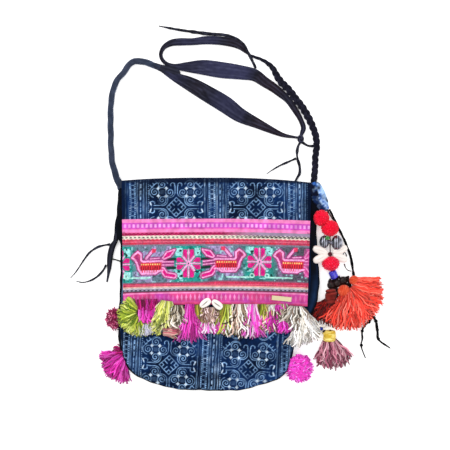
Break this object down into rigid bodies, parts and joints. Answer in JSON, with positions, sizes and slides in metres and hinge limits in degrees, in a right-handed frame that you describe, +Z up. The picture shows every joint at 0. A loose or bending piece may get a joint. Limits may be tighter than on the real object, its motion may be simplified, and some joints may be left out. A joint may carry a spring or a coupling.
{
  "type": "batik crossbody bag",
  "caption": "Flat shoulder bag of indigo batik cloth with a fold-over flap, embroidered strips, tassel fringe, knotted cloth strap and a side charm of shells, beads and tassels.",
  "frame": {"origin": "middle of the back panel's outer face, on the surface that the bag lies on", "axes": "+Z up, out of the front of the bag; +Y from the bottom of the pouch to the fold of the flap; +X to the wearer's view right, where the charm lies"},
  "size_m": [0.4052, 0.4597, 0.0284],
  "materials": {
    "indigo_batik": "matte cotton with wax-resist lines",
    "black_cotton": "matte cotton",
    "pink_ribbon": "woven ribbon",
    "zigzag_braid": "woven braid",
    "cross_stitch": "cross-stitch in cotton yarn",
    "brass_plate": "satin",
    "cowrie": "polished shell",
    "lime_yarn": "cotton yarn",
    "magenta_yarn": "cotton yarn",
    "beige_yarn": "cotton yarn",
    "olive_yarn": "cotton yarn",
    "mixed_yarn": "cotton yarn",
    "white_yarn": "cotton yarn",
    "crimson_yarn": "cotton yarn",
    "rust_yarn": "cotton yarn",
    "orange_yarn": "cotton yarn",
    "mauve_yarn": "cotton yarn",
    "strap_cloth": "soft gathered cotton",
    "tie_cord": "twisted cotton cord",
    "charm_cloth": "rolled cotton",
    "red_wool": "wool pompom",
    "blue_glass": "glossy bead",
    "dark_bead": "polished seed bead",
    "orange_bead": "glossy bead",
    "yellow_wrap": "wound yarn",
    "bell_metal": "engraved white metal"
  },
  "bodies": {
    "root": {"back_panel": "indigo_batik", "gusset": "black_cotton", "front_panel": "indigo_batik", "flap": "indigo_batik", "pink_ribbon_upper": "pink_ribbon", "zigzag_upper": "zigzag_braid", "bird_panel": "cross_stitch", "zigzag_lower": "zigzag_braid", "pink_ribbon_lower": "pink_ribbon", "label_plate": "brass_plate", "flap_shell_left": "cowrie", "flap_shell_right": "cowrie", "fringe_tassel_01": "lime_yarn", "fringe_tassel_02": "magenta_yarn", "fringe_tassel_03": "lime_yarn", "fringe_tassel_04": "beige_yarn", "fringe_tassel_05": "magenta_yarn", "fringe_tassel_06": "olive_yarn", "fringe_tassel_07": "mixed_yarn", "fringe_tassel_08": "lime_yarn", "fringe_tassel_09": "beige_yarn", "fringe_tassel_10": "magenta_yarn", "fringe_tassel_11": "olive_yarn", "fringe_tassel_12": "mixed_yarn", "fringe_tassel_13": "white_yarn", "side_tassel": "crimson_yarn", "corner_tassel_left": "magenta_yarn", "corner_tassel_right": "magenta_yarn", "rust_tassel": "rust_yarn", "orange_tassel": "orange_yarn", "mauve_tassel": "mauve_yarn", "strap_braid_left": "strap_cloth", "strap_band_lower": "strap_cloth", "strap_band_upper": "strap_cloth", "strap_braid_right": "strap_cloth", "side_tail": "strap_cloth", "strap_knot": "strap_cloth", "tie_top": "tie_cord", "tie_drop": "tie_cord", "tie_branch": "tie_cord", "side_tie_long": "tie_cord", "side_tie_short": "tie_cord", "charm_black_cord": "tie_cord", "charm_black_cord_end": "tie_cord", "charm_string": "tie_cord", "charm_roll": "charm_cloth", "pompom_1": "red_wool", "pompom_2": "red_wool", "pompom_3": "red_wool", "blue_bead": "blue_glass", "orange_bead_1": "orange_bead", "orange_bead_2": "orange_bead", "yellow_bead": "yellow_wrap", "bell_left": "bell_metal", "bell_right": "bell_metal", "dark_beads": "dark_bead", "charm_shell_1": "cowrie", "charm_shell_2": "cowrie", "charm_shell_3": "cowrie", "charm_shell_4": "cowrie"}
  },
  "joints": []
}
